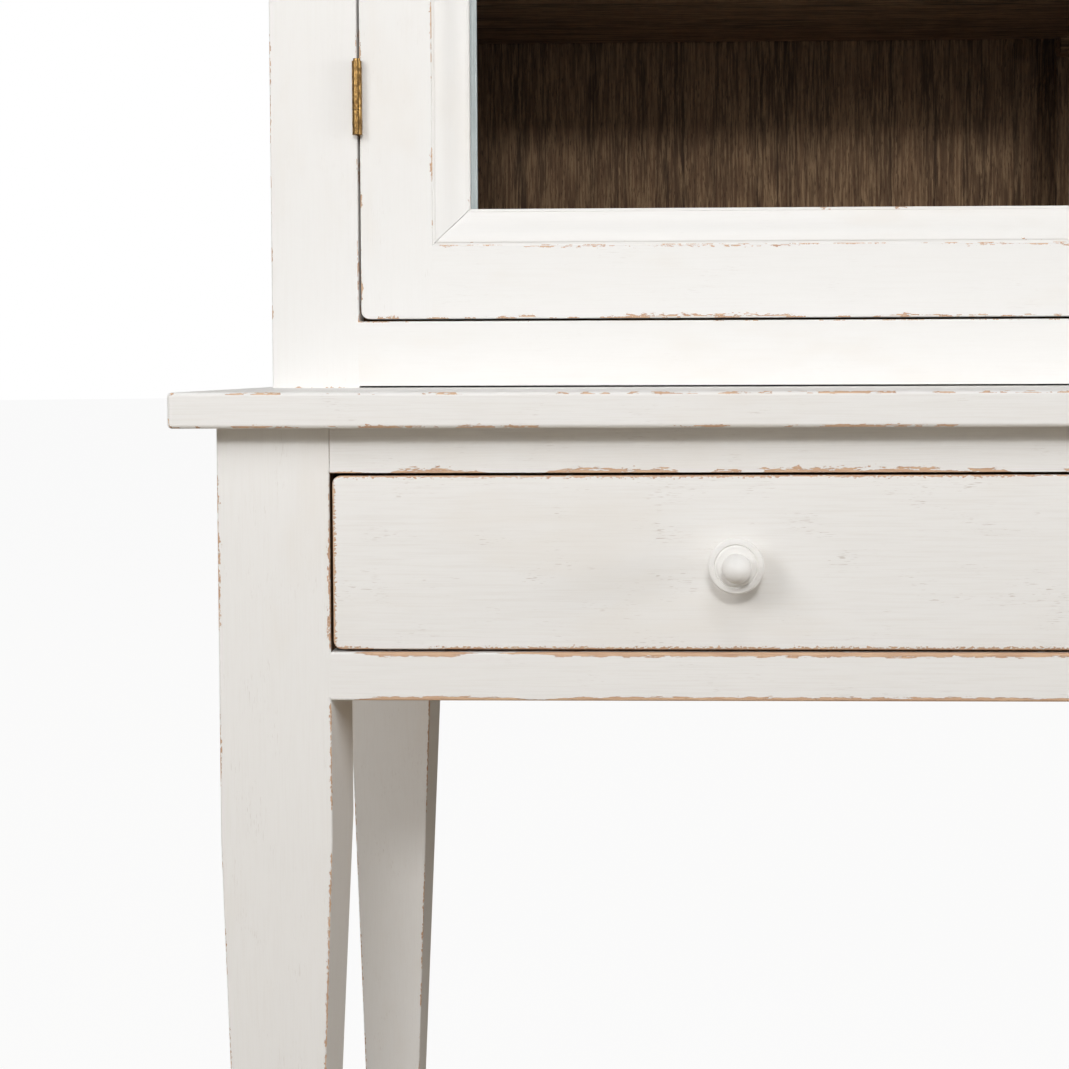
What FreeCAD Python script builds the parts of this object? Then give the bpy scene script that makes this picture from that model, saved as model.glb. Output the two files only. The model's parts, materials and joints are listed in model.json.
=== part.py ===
import FreeCAD, Part
import os
import re
import Sketcher

# China cabinet: a hutch with two glazed doors stands on a table with one wide drawer.
# Millimetres, +Z up, the front faces -Y. The origin is on the floor, under the middle of the cabinet.

SIZES = {
    # stand, measured over the legs
    "stand_width": 1486,
    "stand_depth": 525,
    "stand_height": 790,
    "slab_thickness": 25,
    "slab_side_overhang": 27,
    "slab_front_overhang": 25,
    "slab_edge_radius": 3,
    "leg_width": 80,
    "leg_depth": 75,
    "leg_shoulder_drop": 101,
    "leg_outer_taper": 11,
    "leg_inner_taper": 20,
    "stand_rail_top_height": 32.5,
    "stand_rail_bottom_height": 34.5,
    "stand_rail_thickness": 22,
    "apron_thickness": 20,
    "apron_recess": 5,
    # drawer
    "drawer_opening_height": 127,
    "drawer_gap": 2,
    "drawer_front_thickness": 20,
    "drawer_corner_radius": 6,
    "drawer_edge_radius": 1.5,
    "drawer_back_clearance": 60,
    "drawer_box_drop": 23,
    "drawer_board_thickness": 12,
    "drawer_side_clearance": 3,
    "drawer_bottom_thickness": 6,
    "drawer_bottom_lift": 8,
    "drawer_slide_clearance": 0.3,
    "runner_ledge": 20,
    "runner_thickness": 18,
    "runner_guide_height": 25,
    "kicker_thickness": 20,
    "kicker_clearance": 4,
    # turned knobs
    "knob_projection": 42,
    "knob_radius": 19.5,
    "knob_ball_radius": 10.25,
    "knob_collar_radius": 14.3,
    "knob_neck_radius": 8.5,
    "knob_base_radius": 15,
    "knob_tenon_radius": 5,
    "knob_tenon_length": 14,
    "knob_tenon_clearance": 0.1,
    "drawer_knob_inset": 365.7,
    "door_knob_height": 430,
    # hutch
    "total_height": 2120,
    "hutch_side_overhang": 7,
    "hutch_depth": 340,
    "hutch_board_thickness": 20,
    "frame_thickness": 22,
    "frame_stile_width": 72,
    "frame_rail_bottom_height": 54.5,
    "frame_rail_top_height": 75,
    "frame_rail_lift": 1.5,
    "floor_stop_height": 10,
    "back_thickness": 8,
    "muntin_width": 59,
    "muntin_thickness": 10,
    "shelf_thickness": 22,
    "shelf_setback": 15,
    "shelf_back_clearance": 2,
    "shelf_end_clearance": 1,
    "cleat_size": 18,
    # cornice
    "cornice_height": 75,
    "cornice_rise": 30,
    "cornice_projection": 45,
    "cornice_foot_projection": 12,
    "cornice_foot_height": 16,
    "cornice_fillet_step": 3,
    "cornice_crown_height": 27,
    "cornice_cove_margin": 5,
    # doors
    "door_gap": 2,
    "door_back_clearance": 1,
    "door_stile_width": 59.5,
    "door_rail_height": 60.5,
    "door_corner_radius": 6.5,
    "moulding_width": 30,
    "moulding_recess": 2,
    "moulding_slope_width": 25,
    "moulding_slope_depth": 8,
    "glass_thickness": 3,
    "glass_clearance": 1,
    "bead_thickness": 4,
    "bead_reveal": 5,
    # hinges
    "hinge_length": 60,
    "hinge_barrel_radius": 4,
    "hinge_barrel_clearance": 0.3,
    "hinge_leaf_thickness": 0.9,
    "hinge_leaf_depth": 16,
    "hinge_pin_radius": 1.6,
    "hinge_pin_clearance": 0.05,
    "hinge_pin_head_radius": 3,
    "hinge_pin_head_height": 2,
    "hinge_knuckle_gap": 0.3,
    "hinge_end_distance": 150,
}

# Planes and lines that several pieces share, each worked out from the sizes.
PLACES = {
    "back": "(stand_depth + knob_projection) / 2",
    "front": "back - stand_depth",
    "hutch_front": "back - hutch_depth",
    "frame_back": "hutch_front + frame_thickness",
    "slab_bottom": "stand_height - slab_thickness",
    "leg_outside": "stand_width / 2",
    "leg_inside": "leg_outside - leg_width",
    "leg_shoulder": "stand_rail_bottom_edge - leg_shoulder_drop",
    "front_leg_back": "front + leg_depth",
    "back_leg_front": "back - leg_depth",
    "apron_inside": "leg_outside - apron_recess - apron_thickness",
    "back_apron_front": "back - apron_recess - apron_thickness",
    "opening_top": "slab_bottom - stand_rail_top_height",
    "opening_bottom": "opening_top - drawer_opening_height",
    "stand_rail_bottom_edge": "opening_bottom - stand_rail_bottom_height",
    "drawer_base": "opening_bottom + drawer_gap",
    "drawer_front_top": "opening_top - drawer_gap",
    "drawer_half_width": "leg_inside - drawer_gap",
    "drawer_box_outside": "leg_inside - drawer_side_clearance",
    "drawer_box_inside": "drawer_box_outside - drawer_board_thickness",
    "drawer_box_front": "front + drawer_front_thickness",
    "drawer_box_back": "back_apron_front - drawer_back_clearance",
    "drawer_box_top": "drawer_front_top - drawer_box_drop",
    "runner_top": "drawer_base - drawer_slide_clearance",
    "drawer_knob_x": "leg_outside - drawer_knob_inset",
    "drawer_knob_z": "(opening_bottom + opening_top) / 2",
    "hutch_top": "total_height - cornice_rise",
    "hutch_outside": "leg_outside + hutch_side_overhang",
    "hutch_inside": "hutch_outside - hutch_board_thickness",
    "frame_inside": "hutch_outside - frame_stile_width",
    "frame_rail_bottom_top": "stand_height + frame_rail_bottom_height",
    "frame_rail_top_bottom": "hutch_top - frame_rail_top_height",
    "floor_top": "frame_rail_bottom_top + floor_stop_height",
    "roof_bottom": "hutch_top - hutch_board_thickness",
    "panel_front": "back - back_thickness",
    "muntin_front": "panel_front - muntin_thickness",
    "shelf_pitch": "(roof_bottom - floor_top) / 4",
    "shelf_front": "frame_back + shelf_setback",
    "shelf_back": "muntin_front - shelf_back_clearance",
    "cornice_bottom": "total_height - cornice_height",
    "cornice_step": "cornice_foot_projection + cornice_fillet_step",
    "cornice_crown_bottom": "cornice_height - cornice_crown_height",
    "cove_width": "cornice_projection - cornice_step",
    "cove_height": "cornice_crown_bottom - cornice_foot_height",
    "door_outside": "frame_inside - door_gap",
    "door_inside": "door_gap / 2",
    "door_bottom": "frame_rail_bottom_top + door_gap",
    "door_top": "frame_rail_top_bottom - door_gap",
    "door_back": "frame_back - door_back_clearance",
    "panel_outside": "door_outside - door_stile_width",
    "panel_inside": "door_inside + door_stile_width",
    "panel_bottom": "door_bottom + door_rail_height",
    "panel_top": "door_top - door_rail_height",
    "moulding_front": "hutch_front + moulding_recess",
    "glass_back": "door_back - bead_thickness",
    "moulding_back": "glass_back - glass_thickness",
    "door_knob_x": "door_inside + door_stile_width / 2",
    "door_knob_z": "door_bottom + door_knob_height",
    "hinge_x": "frame_inside - door_gap / 2",
    "hinge_y": "hutch_front - hinge_barrel_radius - hinge_barrel_clearance",
    "hinge_plate_front": "hutch_front + hinge_barrel_clearance",
    "hinge_bore_radius": "hinge_pin_radius + hinge_pin_clearance",
    "knuckle_length": "hinge_length / 3",
}

doc = FreeCAD.newDocument("china_cabinet")
sheet = doc.addObject("Spreadsheet::Sheet", "Sizes")
subparts = []


def fill_sheet():
    for row, (alias, value) in enumerate(SIZES.items(), start=1):
        sheet.set(f"A{row}", alias.replace("_", " "))
        sheet.set(f"B{row}", str(value))
        sheet.setAlias(f"B{row}", alias)
    doc.recompute()


def expand(text):
    # Turns names of sizes and places into an expression over the sheet's cells.
    def swap(match):
        word = match.group()
        if word in PLACES:
            return "(" + expand(PLACES[word]) + ")"
        return "Sizes." + word

    return re.sub(r"[a-z]\w*\b(?!\()", swap, str(text))


def value_of(text):
    return float(sheet.evalExpression(expand(text)))


def bind(item, values):
    for target, text in values.items():
        item.setExpression(target, expand(text))


def place(item, x=0, y=0, z=0):
    bind(item, {"Placement.Base.x": x, "Placement.Base.y": y, "Placement.Base.z": z})


def keep(item, name):
    item.Label = name
    subparts.append(item)
    return item


def box(name, x, y, z):
    # A rectangular block between two planes on each axis.
    block = doc.addObject("Part::Box", name)
    bind(block, {"Length": f"{x[1]} - ({x[0]})", "Width": f"{y[1]} - ({y[0]})", "Height": f"{z[1]} - ({z[0]})"})
    place(block, x[0], y[0], z[0])
    return block


def board(name, x, y, z):
    return keep(box(name, x, y, z), name)


def cylinder(name, radius, length, x=0, y=0, z=0):
    rod = doc.addObject("Part::Cylinder", name)
    bind(rod, {"Radius": radius, "Height": length})
    place(rod, x, y, z)
    return rod


def mirrored(source, name):
    # The piece on the right is the one on the left, mirrored in the middle plane of the cabinet.
    copy = doc.addObject("Part::Mirroring", name)
    copy.Source = source
    copy.Normal = FreeCAD.Vector(1, 0, 0)
    return keep(copy, name)


def new_body(name):
    return doc.addObject("PartDesign::Body", name)


def new_sketch(body, role, offset=0):
    planes = [item for item in body.Origin.OriginFeatures if item.Role == role]
    sketch = body.newObject("Sketcher::SketchObject", body.Name + "_sketch")
    sketch.AttachmentSupport = [(planes[0], "")]
    sketch.MapMode = "FlatFace"
    bind(sketch, {"AttachmentOffset.Base.z": offset})
    return sketch


def draw_outline(sketch, corners):
    # A closed outline of straight edges, with both coordinates of every corner bound to the sheet.
    first = sketch.GeometryCount
    values = []
    for corner in corners:
        values.append([value_of(text) for text in corner])
    count = len(corners)
    for index in range(count):
        start = FreeCAD.Vector(*values[index], 0)
        end = FreeCAD.Vector(*values[(index + 1) % count], 0)
        sketch.addGeometry(Part.LineSegment(start, end))
    for index in range(count):
        following = first + (index + 1) % count
        sketch.addConstraint(Sketcher.Constraint("Coincident", first + index, 2, following, 1))
    for index, corner in enumerate(corners):
        for kind, value, text in zip(("DistanceX", "DistanceY"), values[index], corner):
            number = sketch.addConstraint(Sketcher.Constraint(kind, first + index, 1, value))
            bind(sketch, {f"Constraints[{number}]": text})


def draw_rectangle(sketch, x, y):
    draw_outline(sketch, [(x[0], y[0]), (x[1], y[0]), (x[1], y[1]), (x[0], y[1])])


def draw_circle(sketch, x, y, radius):
    centre = [value_of(x), value_of(y)]
    size = value_of(radius)
    circle = Part.Circle(FreeCAD.Vector(*centre, 0), FreeCAD.Vector(0, 0, 1), size)
    geometry = sketch.addGeometry(circle)
    for kind, value, text in zip(("DistanceX", "DistanceY"), centre, (x, y)):
        number = sketch.addConstraint(Sketcher.Constraint(kind, geometry, 3, value))
        bind(sketch, {f"Constraints[{number}]": text})
    number = sketch.addConstraint(Sketcher.Constraint("Radius", geometry, size))
    bind(sketch, {f"Constraints[{number}]": radius})


def pad(body, sketch, length, backwards=False, midplane=False):
    feature = body.newObject("PartDesign::Pad", body.Name + "_pad")
    feature.Profile = (sketch, [""])
    feature.Reversed = backwards
    feature.Midplane = midplane
    bind(feature, {"Length": length})
    doc.recompute()
    return feature


def pocket_through(body, sketch):
    # Cuts both ways from the sketch, and makes sure that something was cut away.
    before = body.Shape.Volume
    feature = body.newObject("PartDesign::Pocket", body.Name + "_pocket")
    feature.Profile = (sketch, [""])
    feature.Type = 1
    feature.Midplane = True
    doc.recompute()
    if body.Shape.Volume >= before:
        raise ValueError(body.Name + ": a pocket cut nothing")


def find_edges(shape, wanted):
    return [f"Edge{number}" for number, edge in enumerate(shape.Edges, start=1) if wanted(edge.BoundBox)]


def dress(body, kind, edges, sizes):
    base = body.Tip
    feature = body.newObject("PartDesign::" + kind, body.Name + "_" + kind.lower())
    feature.Base = (base, edges)
    if kind == "Chamfer":
        feature.ChamferType = "Two distances"
    bind(feature, sizes)
    doc.recompute()
    return feature


def near(first, second):
    return abs(first - second) < 1e-4


# ---- stand ----


def make_leg():
    # Square above the shoulder, then tapered on all four sides down to the floor.
    body = new_body("leg_front_left")
    upper = new_sketch(body, "XY_Plane", "leg_shoulder")
    draw_rectangle(upper, (0, "leg_width"), (0, "leg_depth"))
    pad(body, upper, "slab_bottom - leg_shoulder")
    shoulder = new_sketch(body, "XY_Plane", "leg_shoulder")
    draw_rectangle(shoulder, (0, "leg_width"), (0, "leg_depth"))
    foot = new_sketch(body, "XY_Plane")
    x = ("leg_outer_taper", "leg_width - leg_inner_taper")
    y = ("leg_outer_taper", "leg_depth - leg_inner_taper")
    draw_rectangle(foot, x, y)
    loft = body.newObject("PartDesign::AdditiveLoft", "leg_taper")
    loft.Profile = (foot, [""])
    loft.Sections = [(shoulder, [""])]
    loft.Ruled = True
    doc.recompute()
    place(body, "-leg_outside", "front")
    return keep(body, "leg_front_left")


def make_legs():
    front_leg = make_leg()
    back_leg = doc.addObject("Part::Mirroring", "leg_back_left")
    back_leg.Source = front_leg
    back_leg.Normal = FreeCAD.Vector(0, 1, 0)
    bind(back_leg, {"Base.y": "(front + back) / 2"})
    keep(back_leg, "leg_back_left")
    mirrored(front_leg, "leg_front_right")
    mirrored(back_leg, "leg_back_right")


def make_slab():
    body = new_body("stand_top")
    outline = new_sketch(body, "XY_Plane")
    side = "leg_outside + slab_side_overhang"
    draw_rectangle(outline, (f"-({side})", side), ("front - slab_front_overhang", "back"))
    slab = pad(body, outline, "slab_thickness")
    back = slab.Shape.BoundBox.YMax
    edges = find_edges(slab.Shape, lambda bound: not near(bound.YMin, back))
    dress(body, "Fillet", edges, {"Radius": "slab_edge_radius"})
    place(body, z="slab_bottom")
    keep(body, "stand_top")


def make_stand_frame():
    rail_depth = ("front", "front + stand_rail_thickness")
    between_legs = ("-leg_inside", "leg_inside")
    board("stand_rail_top", between_legs, rail_depth, ("opening_top", "slab_bottom"))
    board("stand_rail_bottom", between_legs, rail_depth, ("stand_rail_bottom_edge", "opening_bottom"))
    apron_height = ("stand_rail_bottom_edge", "slab_bottom")
    side_x = ("apron_recess - leg_outside", "-apron_inside")
    left = board("stand_apron_left", side_x, ("front_leg_back", "back_leg_front"), apron_height)
    mirrored(left, "stand_apron_right")
    back_y = ("back_apron_front", "back - apron_recess")
    board("stand_apron_back", between_legs, back_y, apron_height)


def make_runners():
    # An L-shaped strip on each side apron: the ledge carries the drawer and the upright guides it.
    body = new_body("drawer_runner_left")
    section = new_sketch(body, "XZ_Plane")
    ledge_end = "runner_ledge - drawer_box_outside"
    guide = "-drawer_box_outside - drawer_side_clearance"
    top = "runner_top + runner_guide_height"
    low = "runner_top - runner_thickness"
    corners = [
        ("-apron_inside", low),
        (ledge_end, low),
        (ledge_end, "runner_top"),
        (guide, "runner_top"),
        (guide, top),
        ("-apron_inside", top),
    ]
    draw_outline(section, corners)
    pad(body, section, "back_leg_front - front_leg_back", backwards=True)
    place(body, y="front_leg_back")
    keep(body, "drawer_runner_left")
    mirrored(body, "drawer_runner_right")


def make_kicker():
    # A strip under the slab that keeps the open drawer from tipping.
    x = ("-kicker_thickness / 2", "kicker_thickness / 2")
    y = ("front + stand_rail_thickness", "back_apron_front")
    board("drawer_kicker", x, y, ("drawer_box_top + kicker_clearance", "slab_bottom"))


# ---- knobs ----


def make_knob(name, x, y, z):
    # Turned: tenon, base, neck, dished head, collar and ball. It is built along +Z and laid along -Y.
    head_height = "knob_projection - 2 * knob_ball_radius"
    head = doc.addObject("Part::Ellipsoid", name + "_head")
    bind(head, {"Radius1": "knob_base_radius / 2", "Radius2": "knob_radius", "Radius3": "knob_radius"})
    place(head, z=head_height)
    ball = doc.addObject("Part::Sphere", name + "_ball")
    bind(ball, {"Radius": "knob_ball_radius"})
    place(ball, z="knob_projection - knob_ball_radius")
    collar_height = "knob_projection - knob_ball_radius * 1.3"
    rods = [
        cylinder(name + "_tenon", "knob_tenon_radius", "knob_tenon_length", z="-knob_tenon_length"),
        cylinder(name + "_base", "knob_base_radius", "knob_base_radius / 4"),
        cylinder(name + "_neck", "knob_neck_radius", head_height),
        cylinder(name + "_collar", "knob_collar_radius", f"{collar_height} - ({head_height})", z=head_height),
    ]
    knob = doc.addObject("Part::MultiFuse", name)
    knob.Shapes = [head, ball] + rods
    knob.Placement.Rotation = FreeCAD.Rotation(FreeCAD.Vector(1, 0, 0), 90)
    place(knob, x, y, z)
    return keep(knob, name)


# ---- drawer ----


def make_drawer_front():
    body = new_body("drawer_front")
    face = new_sketch(body, "XZ_Plane")
    height = ("drawer_base", "drawer_front_top")
    draw_rectangle(face, ("-drawer_half_width", "drawer_half_width"), height)
    panel = pad(body, face, "drawer_front_thickness", backwards=True)
    corners = find_edges(panel.Shape, lambda bound: near(bound.XLength, 0) and near(bound.ZLength, 0))
    rounded = dress(body, "Fillet", corners, {"Radius": "drawer_corner_radius"})
    front_edges = find_edges(rounded.Shape, lambda bound: near(bound.YMax, 0))
    dress(body, "Fillet", front_edges, {"Radius": "drawer_edge_radius"})
    holes = new_sketch(body, "XZ_Plane")
    for x in ("-drawer_knob_x", "drawer_knob_x"):
        draw_circle(holes, x, "drawer_knob_z", "knob_tenon_radius + knob_tenon_clearance")
    pocket_through(body, holes)
    place(body, y="front")
    keep(body, "drawer_front")


def make_drawer():
    make_drawer_front()
    length = ("drawer_box_front", "drawer_box_back")
    height = ("drawer_base", "drawer_box_top")
    left = board("drawer_side_left", ("-drawer_box_outside", "-drawer_box_inside"), length, height)
    mirrored(left, "drawer_side_right")
    inside = ("-drawer_box_inside", "drawer_box_inside")
    back_y = ("drawer_box_back - drawer_board_thickness", "drawer_box_back")
    board("drawer_back", inside, back_y, height)
    bottom_z = ("drawer_base + drawer_bottom_lift", "drawer_base + drawer_bottom_lift + drawer_bottom_thickness")
    board("drawer_bottom", inside, ("drawer_box_front", back_y[0]), bottom_z)
    make_knob("drawer_knob_left", "-drawer_knob_x", "front", "drawer_knob_z")
    make_knob("drawer_knob_right", "drawer_knob_x", "front", "drawer_knob_z")


# ---- hutch ----


def make_carcass():
    depth = ("frame_back", "back")
    side_x = ("-hutch_outside", "-hutch_inside")
    left = board("hutch_side_left", side_x, depth, ("stand_height", "hutch_top"))
    mirrored(left, "hutch_side_right")
    inside = ("-hutch_inside", "hutch_inside")
    depth = ("frame_back", "panel_front")
    board("hutch_floor", inside, depth, ("floor_top - hutch_board_thickness", "floor_top"))
    board("hutch_roof", inside, depth, ("roof_bottom", "hutch_top"))
    panel = board("back_panel_left", ("-hutch_inside", 0), ("panel_front", "back"), ("stand_height", "hutch_top"))
    mirrored(panel, "back_panel_right")
    muntin_x = ("-muntin_width / 2", "muntin_width / 2")
    board("back_muntin", muntin_x, ("muntin_front", "panel_front"), ("floor_top", "roof_bottom"))


def make_face_frame():
    depth = ("hutch_front", "frame_back")
    stile_x = ("-hutch_outside", "-frame_inside")
    left = board("frame_stile_left", stile_x, depth, ("stand_height", "hutch_top"))
    mirrored(left, "frame_stile_right")
    between = ("-frame_inside", "frame_inside")
    board("frame_rail_bottom", between, depth, ("stand_height + frame_rail_lift", "frame_rail_bottom_top"))
    board("frame_rail_top", between, depth, ("frame_rail_top_bottom", "hutch_top"))


def make_shelves():
    # Three shelves rest on cleats along the sides, and on a block at the muntin.
    cleats = []
    depth = ("shelf_front", "shelf_back")
    end = "hutch_inside - shelf_end_clearance"
    for number, level in enumerate(("low", "middle", "high"), start=1):
        top = f"floor_top + {number} * shelf_pitch"
        under = f"{top} - shelf_thickness"
        board("shelf_" + level, (f"-({end})", end), depth, (under, top))
        cleat_z = (f"{under} - cleat_size", under)
        left_x = ("-hutch_inside", "cleat_size - hutch_inside")
        right_x = ("hutch_inside - cleat_size", "hutch_inside")
        middle_x = ("-muntin_width / 2", "muntin_width / 2")
        cleats.append(box(f"cleat_{level}_left", left_x, depth, cleat_z))
        cleats.append(box(f"cleat_{level}_right", right_x, depth, cleat_z))
        cleats.append(box(f"cleat_{level}_middle", middle_x, ("muntin_front - cleat_size", "muntin_front"), cleat_z))
    group = doc.addObject("Part::Compound", "shelf_cleats")
    group.Links = cleats
    keep(group, "shelf_cleats")


def cornice_section(sign):
    # Foot, small step, cove and crown, with the crown furthest out.
    corners = [
        (0, 0),
        ("cornice_foot_projection", 0),
        ("cornice_foot_projection", "cornice_foot_height"),
        ("cornice_step", "cornice_foot_height"),
        ("cornice_step", "cornice_crown_bottom"),
        ("cornice_projection", "cornice_crown_bottom"),
        ("cornice_projection", "cornice_height"),
        (0, "cornice_height"),
    ]
    return [(f"{sign} * ({out})", up) for out, up in corners]


def round_cove(body, along):
    # The inner corner under the crown becomes the cove.
    step = value_of("cornice_step")
    crown = value_of("cornice_crown_bottom")

    def is_cove(bound):
        out = bound.YMin if along == "X" else bound.XMin
        length = bound.XLength if along == "X" else bound.YLength
        return length > step and near(out, -step) and near(bound.ZMin, crown) and near(bound.ZMax, crown)

    radius = "min(cove_width; cove_height) - cornice_cove_margin"
    dress(body, "Fillet", find_edges(body.Shape, is_cove), {"Radius": radius})


def make_cornice():
    front = new_body("cornice_front")
    section = new_sketch(front, "YZ_Plane")
    draw_outline(section, cornice_section("-1"))
    pad(front, section, "2 * (hutch_outside + cornice_projection)", midplane=True)
    round_cove(front, "X")
    mitres = new_sketch(front, "XY_Plane")
    reach = "2 * cornice_projection"
    for sign in ("-1", "1"):
        start = (f"{sign} * hutch_outside", 0)
        end_x = f"{sign} * (hutch_outside + {reach})"
        draw_outline(mitres, [start, (end_x, 0), (end_x, f"-{reach}")])
    pocket_through(front, mitres)
    place(front, y="hutch_front", z="cornice_bottom")
    keep(front, "cornice_front")

    side = new_body("cornice_left")
    section = new_sketch(side, "XZ_Plane", "cornice_projection")
    draw_outline(section, cornice_section("-1"))
    pad(side, section, "hutch_depth + cornice_projection", backwards=True)
    round_cove(side, "Y")
    mitre = new_sketch(side, "XY_Plane")
    draw_outline(mitre, [(0, 0), (f"-{reach}", f"-{reach}"), (0, f"-{reach}")])
    pocket_through(side, mitre)
    place(side, "-hutch_outside", "hutch_front", "cornice_bottom")
    keep(side, "cornice_left")
    mirrored(side, "cornice_right")


# ---- doors ----


def make_stile(name, x, is_outer):
    # A full-height stile whose two outer corners are rounded.
    body = new_body(name)
    face = new_sketch(body, "XZ_Plane")
    draw_rectangle(face, x, ("door_bottom", "door_top"))
    plank = pad(body, face, "door_back - hutch_front", backwards=True)
    bound = plank.Shape.BoundBox
    outer = bound.XMin if is_outer else bound.XMax

    def is_corner(edge):
        return near(edge.XLength, 0) and near(edge.ZLength, 0) and near(edge.XMin, outer)

    if is_outer:
        dress(body, "Fillet", find_edges(plank.Shape, is_corner), {"Radius": "door_corner_radius"})
    else:
        hole = new_sketch(body, "XZ_Plane")
        draw_circle(hole, "-door_knob_x", "door_knob_z", "knob_tenon_radius + knob_tenon_clearance")
        pocket_through(body, hole)
    place(body, y="hutch_front")
    return keep(body, name)


def make_ring(name, thickness, reveal):
    # A flat frame that fills the door's opening, with a hole the size of the visible glass.
    body = new_body(name)
    outer = new_sketch(body, "XZ_Plane")
    draw_rectangle(outer, ("-panel_outside", "-panel_inside"), ("panel_bottom", "panel_top"))
    pad(body, outer, thickness, backwards=True)
    inner = new_sketch(body, "XZ_Plane")
    x = (f"moulding_width + {reveal} - panel_outside", f"-panel_inside - moulding_width - {reveal}")
    draw_rectangle(inner, x, ("panel_bottom + moulding_width", "panel_top - moulding_width"))
    pocket_through(body, inner)
    return body


def make_glazing():
    moulding = make_ring("door_left_moulding", "moulding_back - moulding_front", 0)
    whole = moulding.Shape.BoundBox

    def is_inside(bound):
        clear_x = bound.XMin > whole.XMin + 1 and bound.XMax < whole.XMax - 1
        return clear_x and near(bound.YMin, 0) and near(bound.YMax, 0)

    slope = {"Size": "moulding_slope_width", "Size2": "moulding_slope_depth"}
    dress(moulding, "Chamfer", find_edges(moulding.Shape, is_inside), slope)
    place(moulding, y="moulding_front")
    keep(moulding, "door_left_moulding")
    mirrored(moulding, "door_right_moulding")

    x = ("glass_clearance - panel_outside", "-panel_inside - glass_clearance")
    z = ("panel_bottom + glass_clearance", "panel_top - glass_clearance")
    glass = board("door_left_glass", x, ("moulding_back", "glass_back"), z)
    mirrored(glass, "door_right_glass")

    beads = make_ring("door_left_beads", "door_back - glass_back", "bead_reveal")
    place(beads, y="glass_back")
    keep(beads, "door_left_beads")
    mirrored(beads, "door_right_beads")


def make_door_frames():
    hinge_side = make_stile("door_left_hinge_stile", ("-door_outside", "-panel_outside"), True)
    meeting_side = make_stile("door_left_meeting_stile", ("-panel_inside", "-door_inside"), False)
    mirrored(hinge_side, "door_right_hinge_stile")
    mirrored(meeting_side, "door_right_meeting_stile")
    x = ("-panel_outside", "-panel_inside")
    depth = ("hutch_front", "door_back")
    low = board("door_left_rail_bottom", x, depth, ("door_bottom", "panel_bottom"))
    high = board("door_left_rail_top", x, depth, ("panel_top", "door_top"))
    mirrored(low, "door_right_rail_bottom")
    mirrored(high, "door_right_rail_top")
    for side, sign in (("left", "-1"), ("right", "1")):
        make_knob(f"door_{side}_knob", f"{sign} * door_knob_x", "hutch_front", "door_knob_z")


# ---- hinges ----


def make_leaf(name, base, inside_x, outside_x, knuckles):
    # A thin plate in the door's gap, with knuckles that reach forward to the pin.
    plate_y = ("hinge_plate_front", "hinge_plate_front + hinge_leaf_depth")
    plate = box(name + "_plate", (inside_x, outside_x), plate_y, (base, f"{base} + hinge_length"))
    solids = [plate]
    for number in knuckles:
        low = f"{base} + {number} * knuckle_length + hinge_knuckle_gap / 2"
        length = "knuckle_length - hinge_knuckle_gap"
        solids.append(cylinder(f"{name}_knuckle{number}", "hinge_barrel_radius", length, "-hinge_x", "hinge_y", low))
        neck_y = ("hinge_y + hinge_barrel_radius / 2", "hinge_plate_front")
        solids.append(box(f"{name}_neck{number}", (inside_x, outside_x), neck_y, (low, f"{low} + {length}")))
    fused = doc.addObject("Part::MultiFuse", name + "_fuse")
    fused.Shapes = solids
    bore = cylinder(name + "_bore", "hinge_bore_radius", "hinge_length", "-hinge_x", "hinge_y", base)
    leaf = doc.addObject("Part::Cut", name + "_cut")
    leaf.Base = fused
    leaf.Tool = bore
    return leaf


def make_pin(name, base):
    # A plain pin whose head rests on the top knuckle.
    shank = cylinder(name + "_shank", "hinge_pin_radius", "hinge_length", "-hinge_x", "hinge_y", base)
    seat = f"{base} + hinge_length - hinge_knuckle_gap / 2"
    head = cylinder(name + "_head", "hinge_pin_head_radius", "hinge_pin_head_height", "-hinge_x", "hinge_y", seat)
    pin = doc.addObject("Part::Fuse", name)
    pin.Base = shank
    pin.Tool = head
    return pin


def gather(name, items):
    group = doc.addObject("Part::Compound", "left_" + name)
    group.Links = items
    keep(group, "left_" + name)
    mirrored(group, "right_" + name)


def make_hinges():
    bases = [
        "door_bottom + hinge_end_distance",
        "(door_bottom + door_top - hinge_length) / 2",
        "door_top - hinge_end_distance - hinge_length",
    ]
    door_leaves = []
    frame_leaves = []
    pins = []
    for number, base in enumerate(bases):
        frame_x = ("-frame_inside", "hinge_leaf_thickness - frame_inside")
        door_x = ("-door_outside - hinge_leaf_thickness", "-door_outside")
        frame_leaves.append(make_leaf(f"frame_leaf{number}", base, *frame_x, (0, 2)))
        door_leaves.append(make_leaf(f"door_leaf{number}", base, *door_x, (1,)))
        pins.append(make_pin(f"hinge_pin{number}", base))
    gather("door_hinge_leaves", door_leaves)
    gather("frame_hinge_leaves", frame_leaves)
    gather("hinge_pins", pins)


# ---- build, check and write ----


def check():
    for item in doc.Objects:
        if "Invalid" in item.State or "Error" in item.State:
            raise ValueError(f"{item.Label}: {item.State}")
    for item in subparts:
        if item.Shape.isNull() or not item.Shape.isValid() or not item.Shape.Solids:
            raise ValueError(item.Label + ": no valid solid")


def write():
    os.makedirs("parts", exist_ok=True)
    for item in subparts:
        item.Shape.exportStep(f"parts/{item.Label}.step")


fill_sheet()
make_legs()
make_slab()
make_stand_frame()
make_runners()
make_kicker()
make_drawer()
make_carcass()
make_face_frame()
make_shelves()
make_cornice()
make_door_frames()
make_glazing()
make_hinges()
doc.recompute()
check()
write()
print(len(subparts), "sub-parts written")
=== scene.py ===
import json
import math
from functools import partial

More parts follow.
